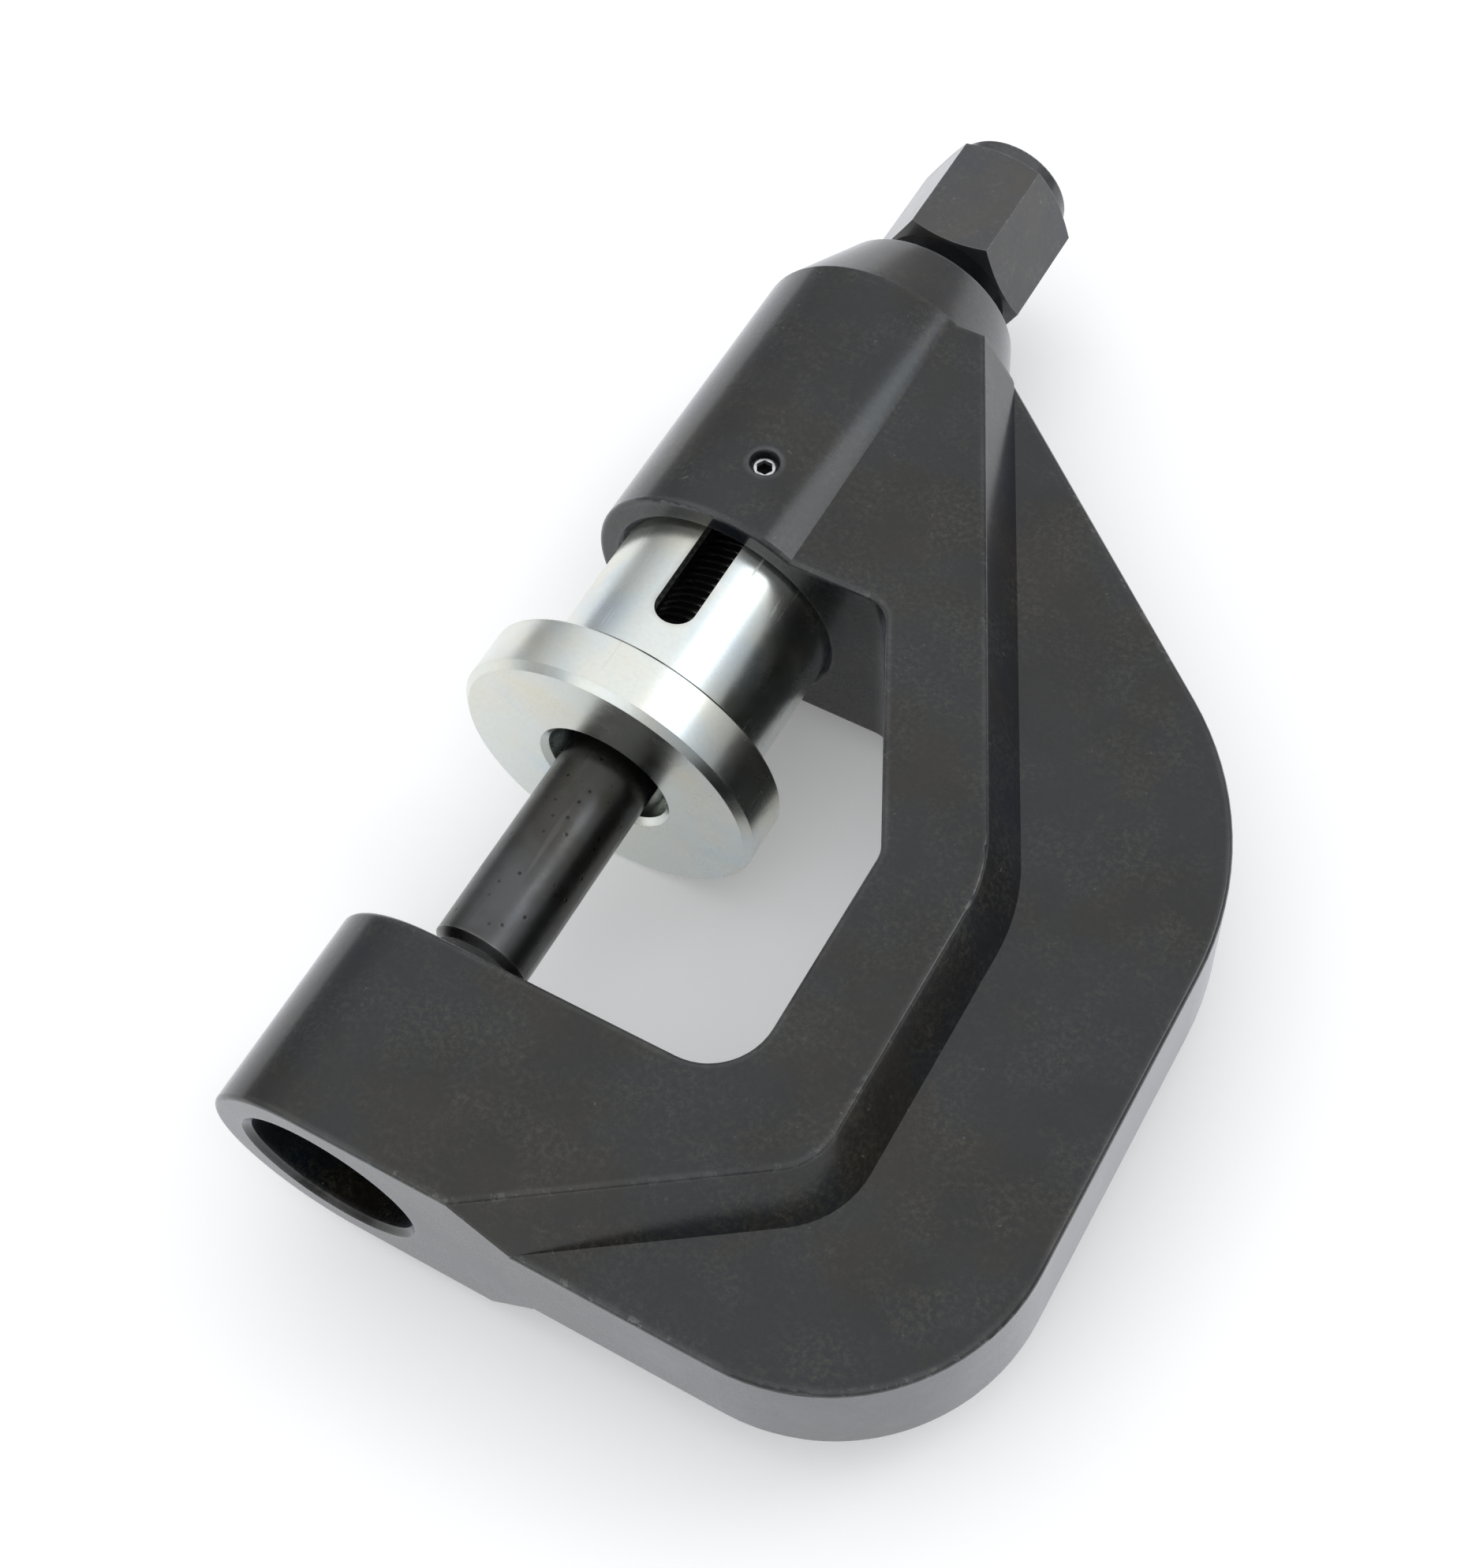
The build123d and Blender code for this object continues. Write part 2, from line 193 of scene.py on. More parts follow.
class PinProperties(bpy.types.PropertyGroup):
    """Finish of the plain thrust pin."""

    colour: FloatVectorProperty(
        name="Oxide", description="Oiled brown-black oxide on the pin", subtype="COLOR", size=3,
        default=(0.062, 0.060, 0.055), min=0, max=1)
    cast: FloatVectorProperty(
        name="Cast", description="Paler oxide in patches", subtype="COLOR", size=3,
        default=(0.088, 0.090, 0.092), min=0, max=1)
    rub: FloatVectorProperty(
        name="Rubs", description="Oxide rubbed thin along the pin", subtype="COLOR", size=3,
        default=(0.20, 0.20, 0.20), min=0, max=1)
    pit: FloatVectorProperty(
        name="Pits", description="Small dark pits", subtype="COLOR", size=3,
        default=(0.01, 0.01, 0.01), min=0, max=1)
    nose: FloatVectorProperty(
        name="Nose", description="Bare steel on the edges of the pin's ends", subtype="COLOR", size=3,
        default=(0.50, 0.49, 0.47), min=0, max=1)
    nose_edge: FloatProperty(
        name="Nose Wear", description="How far wear reaches in from the pin's edges", subtype="DISTANCE",
        default=0.6 * MM, min=0)
    roughness: FloatProperty(
        name="Roughness", description="Mean roughness of the pin", subtype="FACTOR",
        default=0.27, min=0, max=1)


class SleeveProperties(bpy.types.PropertyGroup):
    """Finish of the flanged sleeve."""

    zinc: FloatVectorProperty(
        name="Zinc", description="Bright zinc plate", subtype="COLOR", size=3,
        default=(0.70, 0.735, 0.71), min=0, max=1)
    yellow: FloatVectorProperty(
        name="Passivate", description="Faint yellow-green cast of the passivate", subtype="COLOR", size=3,
        default=(0.72, 0.70, 0.60), min=0, max=1)
    blue: FloatVectorProperty(
        name="Blue Cast", description="Faint blue cast of the passivate", subtype="COLOR", size=3,
        default=(0.58, 0.67, 0.74), min=0, max=1)
    grain: FloatVectorProperty(
        name="Grain", description="Dull grain of the plate", subtype="COLOR", size=3,
        default=(0.42, 0.43, 0.42), min=0, max=1)
    worn: FloatVectorProperty(
        name="Worn Rim", description="Dull worn plate on the rims and corners", subtype="COLOR", size=3,
        default=(0.50, 0.47, 0.41), min=0, max=1)
    edge: FloatProperty(
        name="Worn Edge", description="How far wear reaches in from a rim", subtype="DISTANCE",
        default=1.1 * MM, min=0)
    roughness: FloatProperty(
        name="Roughness", description="Mean roughness of the plate", subtype="FACTOR",
        default=0.26, min=0, max=1)


class KeyScrewProperties(bpy.types.PropertyGroup):
    """Finish of the socket set screw that keys the sleeve."""

    length: FloatProperty(
        name="Length", description="Length of the set screw", subtype="DISTANCE", default=5.2 * MM, min=0)
    oxide: FloatVectorProperty(
        name="Oxide", description="Black oxide on the screw and in its socket", subtype="COLOR", size=3,
        default=(0.012, 0.012, 0.012), min=0, max=1)
    bright: FloatVectorProperty(
        name="Bright End", description="Ground end face round the socket", subtype="COLOR", size=3,
        default=(0.66, 0.67, 0.68), min=0, max=1)
    hollow: FloatProperty(
        name="Socket Reach", description="How far the socket's shade reaches on the end face",
        subtype="DISTANCE", default=1.2 * MM, min=0)


class StageProperties(bpy.types.PropertyGroup):
    """Floor, lights and camera."""

    floor_size: FloatProperty(
        name="Floor Size", description="Side of the square floor", subtype="DISTANCE", default=14.0, min=0)
    floor_colour: FloatVectorProperty(
        name="Floor", description="Plain pale floor", subtype="COLOR", size=3,
        default=(0.93, 0.93, 0.93), min=0, max=1)
    horizon: FloatProperty(
        name="Horizon", description="Strength of the white surround, low down", default=0.40, min=0)
    overhead: FloatProperty(
        name="Overhead", description="Strength of the white surround, overhead", default=1.20, min=0)
    fade_low: FloatProperty(
        name="Fade Start", description="Height where the surround starts to brighten, 0 at the horizon",
        subtype="FACTOR", default=0.10, min=0, max=1)
    fade_high: FloatProperty(
        name="Fade End", description="Height where the surround is at its brightest, 1 overhead",
        subtype="FACTOR", default=0.95, min=0, max=1)
    surround: FloatVectorProperty(
        name="Surround", description="Faintly cool white of the surround", subtype="COLOR", size=3,
        default=(0.975, 0.985, 1.0), min=0, max=1)
    floor_roughness: FloatProperty(
        name="Floor Roughness", description="Roughness of the floor", subtype="FACTOR",
        default=0.9, min=0, max=1)
    glow: FloatProperty(
        name="Floor Glow", description="Light that the floor gives off by itself", default=0.18, min=0)
    light_colour: FloatVectorProperty(
        name="Light Colour", description="Faintly cool white of the softboxes", subtype="COLOR", size=3,
        default=(0.88, 0.94, 1.0), min=0, max=1)
    camera_place: FloatVectorProperty(
        name="Camera Place", description="Where the camera stands", subtype="TRANSLATION", unit="LENGTH",
        size=3, default=(137.25 * MM, -105.86 * MM, 323.24 * MM))
    camera_aim: FloatVectorProperty(
        name="Camera Aim", description="Point that the camera looks at", subtype="TRANSLATION", unit="LENGTH",
        size=3, default=(27.75 * MM, 52.91 * MM, 0.0))
    camera_roll: FloatProperty(
        name="Camera Roll", description="Turn of the camera about its own view axis", subtype="ANGLE",
        default=math.radians(6.01))
    lens: FloatProperty(
        name="Lens", description="Focal length on a 36 mm wide sensor", default=58.35, min=1)
    shift: FloatVectorProperty(
        name="Shift", description="Camera shift across and up", size=2, default=(-0.0341, 0.0108))


class PressProperties(bpy.types.PropertyGroup):
    """Everything about the press that can be set."""

    frame: PointerProperty(type=FrameProperties)
    spindle: PointerProperty(type=SpindleProperties)
    pin: PointerProperty(type=PinProperties)
    sleeve: PointerProperty(type=SleeveProperties)
    key_screw: PointerProperty(type=KeyScrewProperties)
    stage: PointerProperty(type=StageProperties)


# ---------------------------------------------------------------- shader helpers


class Shader:
    """A Principled material that is put together node by node."""

    def __init__(self, name):
        self.material = bpy.data.materials.new(name)
        self.material.use_nodes = True
        self.tree = self.material.node_tree
        self.surface = next(n for n in self.tree.nodes if n.type == "BSDF_PRINCIPLED")
        coordinates = self.add("ShaderNodeTexCoord")
        self.object = coordinates.outputs["Object"]
        self.normal = coordinates.outputs["Normal"]

    def add(self, kind, **settings):
        node = self.tree.nodes.new(kind)
        for key, value in settings.items():
            setattr(node, key, value)
        return node

    def put(self, socket, value):
        """Links an output to this input, or sets the input's own value."""
        if isinstance(value, bpy.types.NodeSocket):
            self.tree.links.new(value, socket)
        else:
            socket.default_value = value

    def set(self, **values):
        """Sets or links the surface's inputs, named with underscores for spaces."""
        for name, value in values.items():
            if isinstance(value, (tuple, list)) and len(value) == 3:
                value = (*value, 1.0)
            self.put(self.surface.inputs[name.replace("_", " ")], value)

    def mapped(self, scale=(1.0, 1.0, 1.0), place=(0.0, 0.0, 0.0), turn=(0.0, 0.0, 0.0)):
        """Object coordinates, scaled, turned and moved."""
        node = self.add("ShaderNodeMapping")
        self.put(node.inputs["Vector"], self.object)
        node.inputs["Scale"].default_value = scale
        node.inputs["Rotation"].default_value = turn
        node.inputs["Location"].default_value = place
        return node.outputs["Vector"]

    def axis(self, name, vector):
        """One component of a vector."""
        node = self.add("ShaderNodeSeparateXYZ")
        self.put(node.inputs["Vector"], vector)
        return node.outputs[name]

    def noise(self, scale, detail=3.0, roughness=0.55, vector=None):
        node = self.add("ShaderNodeTexNoise")
        self.put(node.inputs["Vector"], vector or self.object)
        node.inputs["Scale"].default_value = scale
        node.inputs["Detail"].default_value = detail
        node.inputs["Roughness"].default_value = roughness
        return node.outputs["Fac"]

    def cells(self, scale):
        """Distance to the nearest of many scattered points."""
        node = self.add("ShaderNodeTexVoronoi")
        self.put(node.inputs["Vector"], self.object)
        node.inputs["Scale"].default_value = scale
        return node.outputs["Distance"]

    def spread(self, value, span, onto=(0.0, 1.0)):
        """Maps the ends of span on to the ends of onto, held at both ends."""
        node = self.add("ShaderNodeMapRange", clamp=True)
        self.put(node.inputs["Value"], value)
        for name, number in zip(("From Min", "From Max", "To Min", "To Max"), (*span, *onto)):
            node.inputs[name].default_value = number
        return node.outputs["Result"]

    def maths(self, operation, first, second=0.0):
        node = self.add("ShaderNodeMath", operation=operation)
        self.put(node.inputs[0], first)
        self.put(node.inputs[1], second)
        return node.outputs["Value"]

    def times(self, first, second):
        return self.maths("MULTIPLY", first, second)

    def blend(self, amount, first, second):
        """Colour between first and second."""
        node = self.add("ShaderNodeMix", data_type="RGBA")
        self.put(node.inputs["Factor"], amount)
        for index, colour in zip(MIX_COLOURS, (first, second)):
            if not isinstance(colour, bpy.types.NodeSocket):
                colour = (*colour, 1.0)
            self.put(node.inputs[index], colour)
        return node.outputs[MIX_RESULT]

    def edges(self, reach, inside=True, samples=6):
        """Above 0 on convex edges, or in hollows where inside is False, and 0 on flat ground."""
        node = self.add("ShaderNodeAmbientOcclusion", inside=inside, only_local=True, samples=samples)
        node.inputs["Distance"].default_value = reach
        return self.maths("SUBTRACT", 1.0, node.outputs["AO"])

    def bump(self, height, distance, strength=1.0, below=None):
        """Normal of a surface with this height, on top of the bump below."""
        node = self.add("ShaderNodeBump")
        self.put(node.inputs["Height"], height)
        node.inputs["Distance"].default_value = distance
        node.inputs["Strength"].default_value = strength
        if below is not None:
            self.put(node.inputs["Normal"], below)
        return node.outputs["Normal"]


# ---------------------------------------------------------------- finishes


def worn_edges_and_crest_highlights(s, reach):
    """Mask of worn edges, which on a thread also paints a highlight along the crests: a faint unbroken line,
    with chips where the edge was knocked.
    """
    edges = s.edges(reach)
    line_strength = s.spread(s.noise(90.0, roughness=0.6), (0.35, 0.65), onto=(0.08, 0.30))
    line = s.times(s.spread(edges, (0.10, 0.24)), line_strength)
    chips = s.spread(s.noise(420.0, detail=4.0, roughness=0.8), (0.53, 0.60))
    chips = s.times(s.spread(edges, (0.12, 0.26)), chips)
    knocked = s.spread(s.noise(28.0, detail=2.0), (0.46, 0.64), onto=(0.05, 0.85))
    rub = s.maths("MAXIMUM", line, s.times(chips, knocked))
    # held back where the mask is strongest, on sharp corners and thin strips
    held_back = s.spread(edges, (0.34, 0.44), onto=(1.0, 0.25))
    return s.times(rub, held_back)


def oxide_finish(name, dark, brown, blue, sand, worn, edge, roughness,
                 mottle=45.0, grain=1100.0, swing=0.07, metal=0.15):
    """Oiled black oxide on steel: mottled warm and cool, fine grit, and worn along its edges, which on a
    thread's crests is also a painted highlight.

    mottle and grain are the scales of the patches and of the grit, swing is how far the roughness strays
    from its mean, and metal is how metallic the unworn oxide is.
    """
    s = Shader(name)
    warm = s.noise(mottle, detail=4.0, roughness=0.6)
    colour = s.blend(s.spread(warm, (0.42, 0.62)), dark, brown)
    cool = s.noise(mottle * 0.7, roughness=0.6, vector=s.mapped(place=COOL_PLACE))
    colour = s.blend(s.spread(cool, (0.44, 0.58), onto=(0.0, 0.9)), colour, blue)

    patch = s.noise(mottle * 2.2, roughness=0.65, vector=s.mapped(place=PATCH_PLACE))
    patch = s.spread(patch, (0.42, 0.64), onto=(0.12, 0.85))
    grit = s.spread(s.noise(grain, roughness=0.75), (0.44, 0.72))
    colour = s.blend(s.times(grit, patch), colour, sand)
    specks = s.noise(grain * 0.8, detail=2.0, roughness=0.5, vector=s.mapped(place=SPECK_PLACE))
    speck_strength = s.times(patch, 0.22)
    colour = s.blend(s.times(s.spread(specks, (0.72, 0.76)), speck_strength), colour, worn)

    # worn steel along the edges; on a thread's crests this is also a painted highlight
    rub = worn_edges_and_crest_highlights(s, edge)
    colour = s.blend(rub, colour, worn)
    rough = s.noise(mottle * 1.7, detail=5.0, roughness=0.65)
    rough = s.spread(rough, MOST, onto=(roughness - swing, roughness + swing))
    rough = s.maths("SUBTRACT", rough, s.times(rub, 0.12))

    skin = s.bump(s.noise(grain, roughness=0.6), 0.03 * MM, strength=0.5)
    skin = s.bump(s.noise(mottle * 5.0, roughness=0.5), 0.10 * MM, strength=0.25, below=skin)
    oil = s.bump(s.noise(grain * 0.7, detail=2.0, roughness=0.5), 0.02 * MM, strength=0.35)
    s.set(Base_Color=colour, Metallic=s.spread(rub, (0.0, 1.0), onto=(metal, 1.0)), Roughness=rough,
          Normal=skin, Coat_Normal=oil, **OIL_FILM, **VIOLET_SHEEN)
    return s.material


def pin_finish(props):
    """Oiled oxide with small pits, faint lengthwise rubs and a bright worn nose."""
    s = Shader("pin_oxide")
    along = s.mapped(scale=(1.0, 0.06, 1.0))
    rubs = s.spread(s.noise(900.0, detail=2.0, roughness=0.5, vector=along), (0.60, 0.75))
    pits = s.spread(s.cells(400.0), (0.05, 0.17), onto=(1.0, 0.0))
    colour = s.blend(s.spread(s.noise(90.0), (0.4, 0.65)), props.colour, props.cast)
    colour = s.blend(s.times(rubs, 0.15), colour, props.rub)
    colour = s.blend(s.times(pits, 0.8), colour, props.pit)

    patchy = s.spread(s.noise(500.0), (0.35, 0.60), onto=(0.3, 1.0))
    nose = s.times(s.spread(s.edges(props.nose_edge), (0.14, 0.34)), patchy)
    colour = s.blend(nose, colour, props.nose)

    rough_span = (props.roughness - 0.06, props.roughness + 0.10)
    height = s.maths("SUBTRACT", s.times(s.noise(1100.0), 0.3), pits)
    s.set(Base_Color=colour, Metallic=0.95,
          Roughness=s.spread(s.noise(140.0, detail=4.0), MOST, onto=rough_span),
          Normal=s.bump(height, 0.05 * MM, strength=0.6))
    return s.material


def zinc_finish(props):
    """Bright zinc plate with a faint cast, fine grain, a few lengthwise scratches and worn rims."""
    s = Shader("zinc_plate")
    along = s.mapped(scale=(1.0, 0.03, 1.0))
    # scratches keep to the barrel, and leave out the faces that look along the axis
    barrel = s.spread(s.maths("ABSOLUTE", s.axis("Y", s.normal)), (0.15, 0.40), onto=(1.0, 0.0))
    scratches = s.spread(s.noise(1500.0, detail=2.0, roughness=0.5, vector=along), (0.66, 0.72))
    few = s.times(barrel, s.spread(s.noise(60.0, detail=2.0), (0.47, 0.56)))
    scratches = s.times(scratches, few)

    colour = s.blend(s.spread(s.noise(45.0), (0.42, 0.68)), props.zinc, props.yellow)
    cool = s.noise(70.0, roughness=0.5, vector=s.mapped(place=PLATE_PLACE))
    colour = s.blend(s.spread(cool, (0.50, 0.72), onto=(0.0, 0.7)), colour, props.blue)
    grain = s.spread(s.noise(1300.0, roughness=0.6), (0.40, 0.75), onto=(0.0, 0.12))
    colour = s.blend(grain, colour, props.grain)

    patchy = s.spread(s.noise(300.0), (0.35, 0.60), onto=(0.3, 1.0))
    rim = s.times(s.spread(s.edges(props.edge), (0.14, 0.38)), patchy)
    colour = s.blend(s.times(rim, 0.6), colour, props.worn)

    rough_span = (props.roughness - 0.05, props.roughness + 0.05)
    rough = s.spread(s.noise(120.0, detail=4.0, roughness=0.6), MOST, onto=rough_span)
    rough = s.maths("ADD", rough, s.times(rim, 0.14))
    rough = s.maths("ADD", rough, s.times(scratches, 0.20))
    height = s.maths("SUBTRACT", s.times(s.noise(1600.0, detail=2.0), 0.12), scratches)
    s.set(Base_Color=colour, Metallic=1.0, Roughness=rough,
          Normal=s.bump(height, 0.016 * MM, strength=0.35))
    return s.material


def key_screw_finish(props, low, high):
    """Oiled black screw and socket, with a bright ground ring on the end that shows."""
    s = Shader("screw_oxide")
    x, z = (low[0] + high[0]) / 2, (low[2] + high[2]) / 2
    end_face = math.hypot(x, z) + props.length / 2
    # Z along the screw, which stands square to the press axis
    upright = s.mapped(turn=(0.0, -math.atan2(x, z), 0.0))
    ground = s.spread(s.axis("Z", upright), (end_face - 0.9 * MM, end_face - 0.3 * MM))
    socket = s.spread(s.edges(props.hollow, inside=False), (0.25, 0.60), onto=(1.0, 0.0))
    ground = s.times(ground, socket)
    ground = s.times(ground, s.spread(s.noise(1500.0), (0.30, 0.55), onto=(0.55, 1.0)))
    s.set(Base_Color=s.blend(ground, props.oxide, props.bright),
          Metallic=s.spread(ground, (0.0, 1.0), onto=(0.4, 1.0)),
          Roughness=s.spread(s.noise(900.0), MOST, onto=(0.24, 0.36)),
          Specular_IOR_Level=0.2, Coat_Weight=0.4, Coat_Roughness=0.2,
          Normal=s.bump(s.noise(2500.0), 0.01 * MM, strength=0.4))
    return s.material


def bright_steel_finish():
    """Bare hardened steel of the ball and the wire ring."""
    s = Shader("hardened_steel")
    s.set(Base_Color=s.blend(s.noise(300.0), *HARDENED_STEEL), Metallic=1.0,
          Roughness=s.spread(s.noise(600.0), MOST, onto=(0.14, 0.26)))
    return s.material


def rubber_finish():
    """Matt nitrile rubber of the friction ring."""
    s = Shader("ring_rubber")
    s.set(Base_Color=s.blend(s.noise(400.0), *RUBBER),
          Roughness=s.spread(s.noise(700.0), MOST, onto=(0.55, 0.72)),
          Normal=s.bump(s.noise(2200.0), 0.02 * MM, strength=0.5))
    return s.material


def give(piece, material):
    """Makes this the piece's only material."""
    piece.data.materials.clear()
    piece.data.materials.append(material)


# ---------------------------------------------------------------- thread by Geometry Nodes


def thread_tree(material):
    """Node tree that makes a closed, threaded bar along +Y from its sizes."""
    tree = bpy.data.node_groups.new("screw_thread", "GeometryNodeTree")
    face = tree.interface
    face.new_socket("Geometry", in_out="OUTPUT", socket_type="NodeSocketGeometry")
    for name in ("Radius", "Pitch", "Depth", "Start", "End", "Runout"):
        face.new_socket(name, in_out="INPUT", socket_type="NodeSocketFloat")
    for name in ("Rings", "Sides"):
        face.new_socket(name, in_out="INPUT", socket_type="NodeSocketInt")
    nodes, links = tree.nodes, tree.links
    given = nodes.new("NodeGroupInput").outputs

    def maths(operation, *values, clamp=False):
        node = nodes.new("ShaderNodeMath")
        node.operation = operation
        node.use_clamp = clamp
        for socket, value in zip(node.inputs, values):
            if isinstance(value, bpy.types.NodeSocket):
                links.new(value, socket)
            else:
                socket.default_value = value
        return node.outputs[0]

    bar = nodes.new("GeometryNodeMeshCylinder")
    bar.fill_type = "NGON"
    bar.inputs["Radius"].default_value = 1.0
    bar.inputs["Depth"].default_value = 1.0
    links.new(given["Sides"], bar.inputs["Vertices"])
    links.new(given["Rings"], bar.inputs["Side Segments"])

    place = nodes.new("ShaderNodeSeparateXYZ")
    links.new(nodes.new("GeometryNodeInputPosition").outputs[0], place.inputs[0])
    x, y, z = place.outputs
    turn = maths("DIVIDE", maths("ARCTAN2", y, x), 2 * math.pi)
    length = maths("SUBTRACT", given["End"], given["Start"])
    along = maths("MULTIPLY", maths("ADD", z, 0.5), length)
    height = maths("ADD", given["Start"], along)
    phase = maths("FRACT", maths("SUBTRACT", maths("DIVIDE", height, given["Pitch"]), turn))
    ridge = maths("SUBTRACT", 1.0, maths("ABSOLUTE", maths("SUBTRACT", maths("MULTIPLY", phase, 2.0), 1.0)))
    ridge = maths("MULTIPLY", maths("SUBTRACT", ridge, THREAD_ROOT), 1.0 / THREAD_FLANK, clamp=True)
    from_start = maths("DIVIDE", along, given["Runout"], clamp=True)
    to_end = maths("DIVIDE", maths("SUBTRACT", length, along), given["Runout"], clamp=True)
    cut = maths("MULTIPLY", given["Depth"], maths("SUBTRACT", 1.0, ridge))
    cut = maths("MULTIPLY", cut, maths("MULTIPLY", from_start, to_end))
    radius = maths("SUBTRACT", given["Radius"], cut)

    moved = nodes.new("ShaderNodeCombineXYZ")
    links.new(maths("MULTIPLY", x, radius), moved.inputs["X"])
    links.new(height, moved.inputs["Y"])
    links.new(maths("MULTIPLY", maths("MULTIPLY", y, radius), -1.0), moved.inputs["Z"])
    shape = nodes.new("GeometryNodeSetPosition")
    links.new(bar.outputs["Mesh"], shape.inputs["Geometry"])
    links.new(moved.outputs[0], shape.inputs["Position"])

    real = nodes.new("GeometryNodeRealizeInstances")
    links.new(shape.outputs[0], real.inputs[0])
    finish = nodes.new("GeometryNodeSetMaterial")
    finish.inputs["Material"].default_value = material
    links.new(real.outputs[0], finish.inputs["Geometry"])
    links.new(finish.outputs[0], nodes.new("NodeGroupOutput").inputs[0])
    return tree


def threaded_bar(name, material, **sizes):
    """A plain mesh object of a threaded bar along +Y, made by the thread's node tree."""
    carrier = bpy.data.objects.new(name + "_maker", bpy.data.meshes.new(name + "_maker"))
    bpy.context.scene.collection.objects.link(carrier)
    tree = thread_tree(material)
    modifier = carrier.modifiers.new("thread", "NODES")
    modifier.node_group = tree
    for item in tree.interface.items_tree:
        if item.in_out == "INPUT":
            modifier[item.identifier] = sizes[item.name.lower()]
    carrier.update_tag()
    evaluated = carrier.evaluated_get(bpy.context.evaluated_depsgraph_get())
    mesh = bpy.data.meshes.new_from_object(evaluated)
    bpy.data.objects.remove(carrier)
    mesh.name = name
    piece = bpy.data.objects.new(name, mesh)
    bpy.context.scene.collection.objects.link(piece)
    mesh.shade_smooth()
    mesh.set_sharp_from_angle(angle=THREAD_SHARP_ANGLE)
    return piece


def open_copy(node, name):
    """A new object for a copy of a CAD node, and the copy as a bmesh with its doubles merged."""
    source = frame["nodes"][node]
    made = bmesh.new()
    made.from_mesh(source.data)
    kept = made.loops.layers.float_vector.new(KEPT_NORMALS)
    for face, polygon in zip(made.faces, source.data.polygons):
        for loop, index in zip(face.loops, polygon.loop_indices):
            loop[kept] = source.data.corner_normals[index].vector
    made.transform(source.matrix_world)
    bmesh.ops.remove_doubles(made, verts=made.verts, dist=DOUBLES_MARGIN)
    piece = bpy.data.objects.new(name, bpy.data.meshes.new(name))
    bpy.context.scene.collection.objects.link(piece)
    return piece, made


def close_copy(piece, made):
    """Puts the bmesh into its object, shaded with the normals that the CAD node had."""
    made.to_mesh(piece.data)
    made.free()
    piece.data.shade_smooth()
    # faces that filled a hole have no kept normal, and get their own
    normals = [corner.vector for corner in piece.data.attributes[KEPT_NORMALS].data]
    piece.data.normals_split_custom_set(normals)
    piece.data.attributes.remove(piece.data.attributes[KEPT_NORMALS])


def cut_barrel(made, radius, start, end):
    """Takes away the plain barrel between start and end, and closes what is left."""
    barrel = []
    for face in made.faces:
        middle = face.calc_center_median()
        across = math.hypot(middle.x, middle.z)
        if abs(across - radius) < BARREL_MARGIN and start < middle.y < end:
            barrel.append(face)
    if not barrel:
        raise RuntimeError("the spindle has no plain barrel to thread")
    bmesh.ops.delete(made, geom=barrel, context="FACES")
    rims = [e for e in made.edges if e.is_boundary]
    bmesh.ops.holes_fill(made, edges=rims, sides=0)
    bmesh.ops.recalc_face_normals(made, faces=made.faces)


# ---------------------------------------------------------------- floor, lights and camera


def pale_floor(props, height):
    """Square floor under the press, which gives off a little light of its own."""
    half = props.floor_size / 2
    mesh = bpy.data.meshes.new("floor")
    corners = [(x, y, height) for x, y in ((-half, -half), (half, -half), (half, half), (-half, half))]
    mesh.from_pydata(corners, [], [(0, 1, 2, 3)])
    floor = bpy.data.objects.new("floor", mesh)
    bpy.context.scene.collection.objects.link(floor)
    s = Shader("floor_paper")
    s.set(Base_Color=tuple(props.floor_colour), Roughness=props.floor_roughness,
          Emission_Color=(1.0, 1.0, 1.0), Emission_Strength=props.glow)
    give(floor, s.material)
    return floor


def white_surround(props):
    """World that is darkest at the horizon and brightest overhead."""
    world = bpy.data.worlds.new("surround")
    world.use_nodes = True
    tree = world.node_tree
    background = tree.nodes["Background"]
    background.inputs["Color"].default_value = (*props.surround, 1.0)
    height = tree.nodes.new("ShaderNodeSeparateXYZ")
    tree.links.new(tree.nodes.new("ShaderNodeTexCoord").outputs["Generated"], height.inputs["Vector"])
    fade = tree.nodes.new("ShaderNodeMapRange")
    fade.interpolation_type = "SMOOTHSTEP"
    tree.links.new(height.outputs["Z"], fade.inputs["Value"])
    for name, number in zip(("From Min", "From Max", "To Min", "To Max"),
                            (props.fade_low, props.fade_high, props.horizon, props.overhead)):
        fade.inputs[name].default_value = number
    tree.links.new(fade.outputs["Result"], background.inputs["Strength"])
    return world


def softbox(name, place, aim, side, power, colour):
    """Square area light at place that shines towards aim."""
    light = bpy.data.lights.new(name, "AREA")
    light.size = side
    light.energy = power
    light.color = colour
    lamp = bpy.data.objects.new(name, light)
    lamp.location = place
    lamp.rotation_euler = (aim - place).to_track_quat("-Z", "Y").to_euler()
    bpy.context.scene.collection.objects.link(lamp)


def stand_camera(props):
    """Camera at its place, aimed, then rolled about its own view axis."""
    lens = bpy.data.cameras.new("camera")
    lens.sensor_fit = "HORIZONTAL"
    lens.sensor_width = SENSOR_WIDTH
    lens.lens = props.lens
    lens.shift_x, lens.shift_y = props.shift
    lens.clip_start = CLIP_START
    camera = bpy.data.objects.new("camera", lens)
    place, aim = Vector(props.camera_place), Vector(props.camera_aim)
    turn = (aim - place).to_track_quat("-Z", "Y").to_matrix().to_4x4()
    camera.matrix_world = Matrix.Translation(place) @ turn @ Matrix.Rotation(-props.camera_roll, 4, "Z")
    bpy.context.scene.collection.objects.link(camera)
    return camera


# ---------------------------------------------------------------- operators


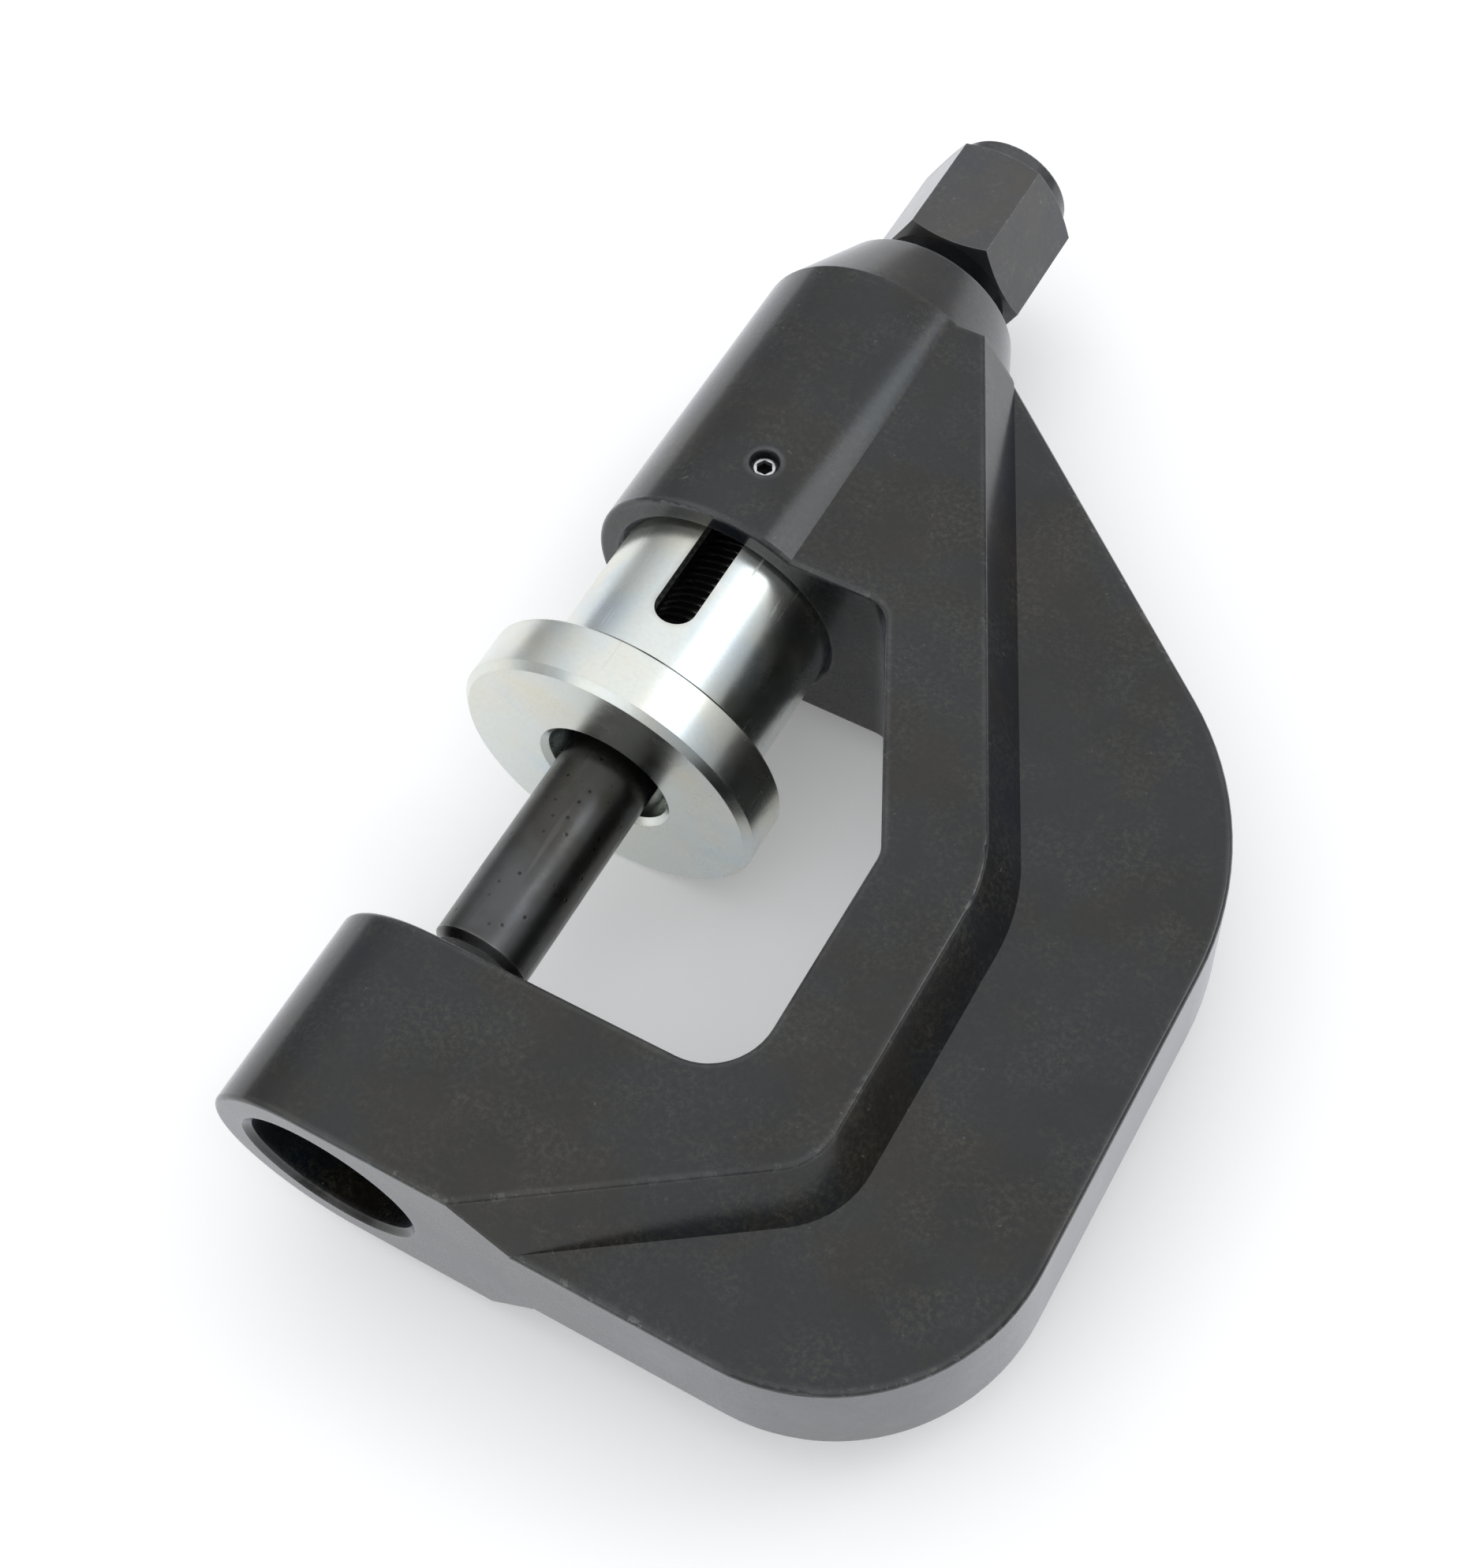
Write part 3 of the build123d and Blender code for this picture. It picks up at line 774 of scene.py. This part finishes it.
class PRESS_OT_frame(bpy.types.Operator):
    """Gives the forged C-frame its black oxide, with bright worn edges"""

    bl_idname = "press.frame"
    bl_label = "C-Frame"

    def execute(self, context):
        props = context.scene.press.frame
        material = oxide_finish("frame_oxide", props.oxide, props.brown, props.blue, props.sand, props.worn,
                                props.edge, props.roughness)
        give(frame["nodes"]["c_frame"], material)
        return {"FINISHED"}


class PRESS_OT_spindle(bpy.types.Operator):
    """Makes the spindle: its turned head, and its thread by Geometry Nodes"""

    bl_idname = "press.spindle"
    bl_label = "Spindle"

    def execute(self, context):
        props = context.scene.press.spindle
        low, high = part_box("spindle")
        thread_start = low[1] + props.end_chamfer
        thread_end = high[1] - props.head_length

        piece, made = open_copy("spindle", "spindle_head")
        cut_barrel(made, props.major_radius, thread_start, thread_end)
        close_copy(piece, made)
        head_material = oxide_finish(
            "spindle_oxide", props.colour, props.brown, props.blue, props.sand, props.worn,
            props.edge, props.roughness, mottle=80.0, swing=0.05, metal=0.85)
        give(piece, head_material)

        # the thread's oxide is lightened as painted light, and its crests carry a painted highlight as well
        # as their wear
        thread_material = oxide_finish(
            "thread_oxide_and_crest_highlights", props.thread_colour_painted_light, props.brown, props.blue, props.sand, props.thread_crest_wear_and_highlight,
            props.thread_edge, props.thread_roughness, mottle=120.0, metal=0.9)
        turns = (thread_end - thread_start) / props.pitch
        thread = threaded_bar(
            "spindle_thread", thread_material,
            radius=props.major_radius, pitch=props.pitch, depth=props.depth,
            start=thread_start, end=thread_end, runout=props.pitch,
            rings=int(turns * props.rings), sides=props.sides)

        for made_piece in (piece, thread):
            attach(made_piece, "spindle")
            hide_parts("spindle")
        return {"FINISHED"}


class PRESS_OT_pin(bpy.types.Operator):
    """Gives the thrust pin and its ball their finishes"""

    bl_idname = "press.pin"
    bl_label = "Thrust Pin"

    def execute(self, context):
        give(frame["nodes"]["thrust_pin"], pin_finish(context.scene.press.pin))
        steel = bright_steel_finish()
        for node in ("thrust_ball", "wire_ring"):
            give(frame["nodes"][node], steel)
        return {"FINISHED"}


class PRESS_OT_sleeve(bpy.types.Operator):
    """Gives the flanged sleeve its zinc plate, and its friction ring its rubber"""

    bl_idname = "press.sleeve"
    bl_label = "Sleeve"

    def execute(self, context):
        give(frame["nodes"]["sleeve"], zinc_finish(context.scene.press.sleeve))
        give(frame["nodes"]["friction_ring"], rubber_finish())
        return {"FINISHED"}


class PRESS_OT_key_screw(bpy.types.Operator):
    """Gives the socket set screw its finish"""

    bl_idname = "press.key_screw"
    bl_label = "Key Screw"

    def execute(self, context):
        material = key_screw_finish(context.scene.press.key_screw, *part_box("key_screw"))
        give(frame["nodes"]["key_screw"], material)
        return {"FINISHED"}


class PRESS_OT_stage(bpy.types.Operator):
    """Puts down the pale floor, the soft lights and the camera"""

    bl_idname = "press.stage"
    bl_label = "Stage"

    def execute(self, context):
        props = context.scene.press.stage
        scene = context.scene
        low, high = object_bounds()

        floor = pale_floor(props, low[2])
        floor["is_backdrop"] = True
        scene.world = white_surround(props)
        middle = (Vector(low) + Vector(high)) / 2
        for name, offset, side, power in SOFTBOXES:
            softbox(name, middle + Vector(offset), middle, side, power, props.light_colour)
        scene.camera = stand_camera(props)
        scene.view_settings.view_transform = "Standard"
        return {"FINISHED"}


OPERATORS = (
    PRESS_OT_frame,
    PRESS_OT_spindle,
    PRESS_OT_pin,
    PRESS_OT_sleeve,
    PRESS_OT_key_screw,
    PRESS_OT_stage,
)


class PRESS_PT_panel(bpy.types.Panel):
    """Lists the press's pieces in the 3D view's sidebar"""

    bl_idname = "PRESS_PT_panel"
    bl_label = "Screw Press"
    bl_space_type = "VIEW_3D"
    bl_region_type = "UI"
    bl_category = "Press"

    def draw(self, context):
        for operator in OPERATORS:
            self.layout.operator(operator.bl_idname)


CLASSES = (
    FrameProperties,
    SpindleProperties,
    PinProperties,
    SleeveProperties,
    KeyScrewProperties,
    StageProperties,
    PressProperties,
    *OPERATORS,
    PRESS_PT_panel,
)


def register():
    for cls in CLASSES:
        bpy.utils.register_class(cls)
    bpy.types.Scene.press = PointerProperty(type=PressProperties)


def unregister():
    del bpy.types.Scene.press
    for cls in reversed(CLASSES):
        bpy.utils.unregister_class(cls)


def main():
    register()
    bpy.ops.press.frame()
    bpy.ops.press.spindle()
    bpy.ops.press.pin()
    bpy.ops.press.sleeve()
    bpy.ops.press.key_screw()
    bpy.ops.press.stage()


if __name__ == "__main__":
    main()
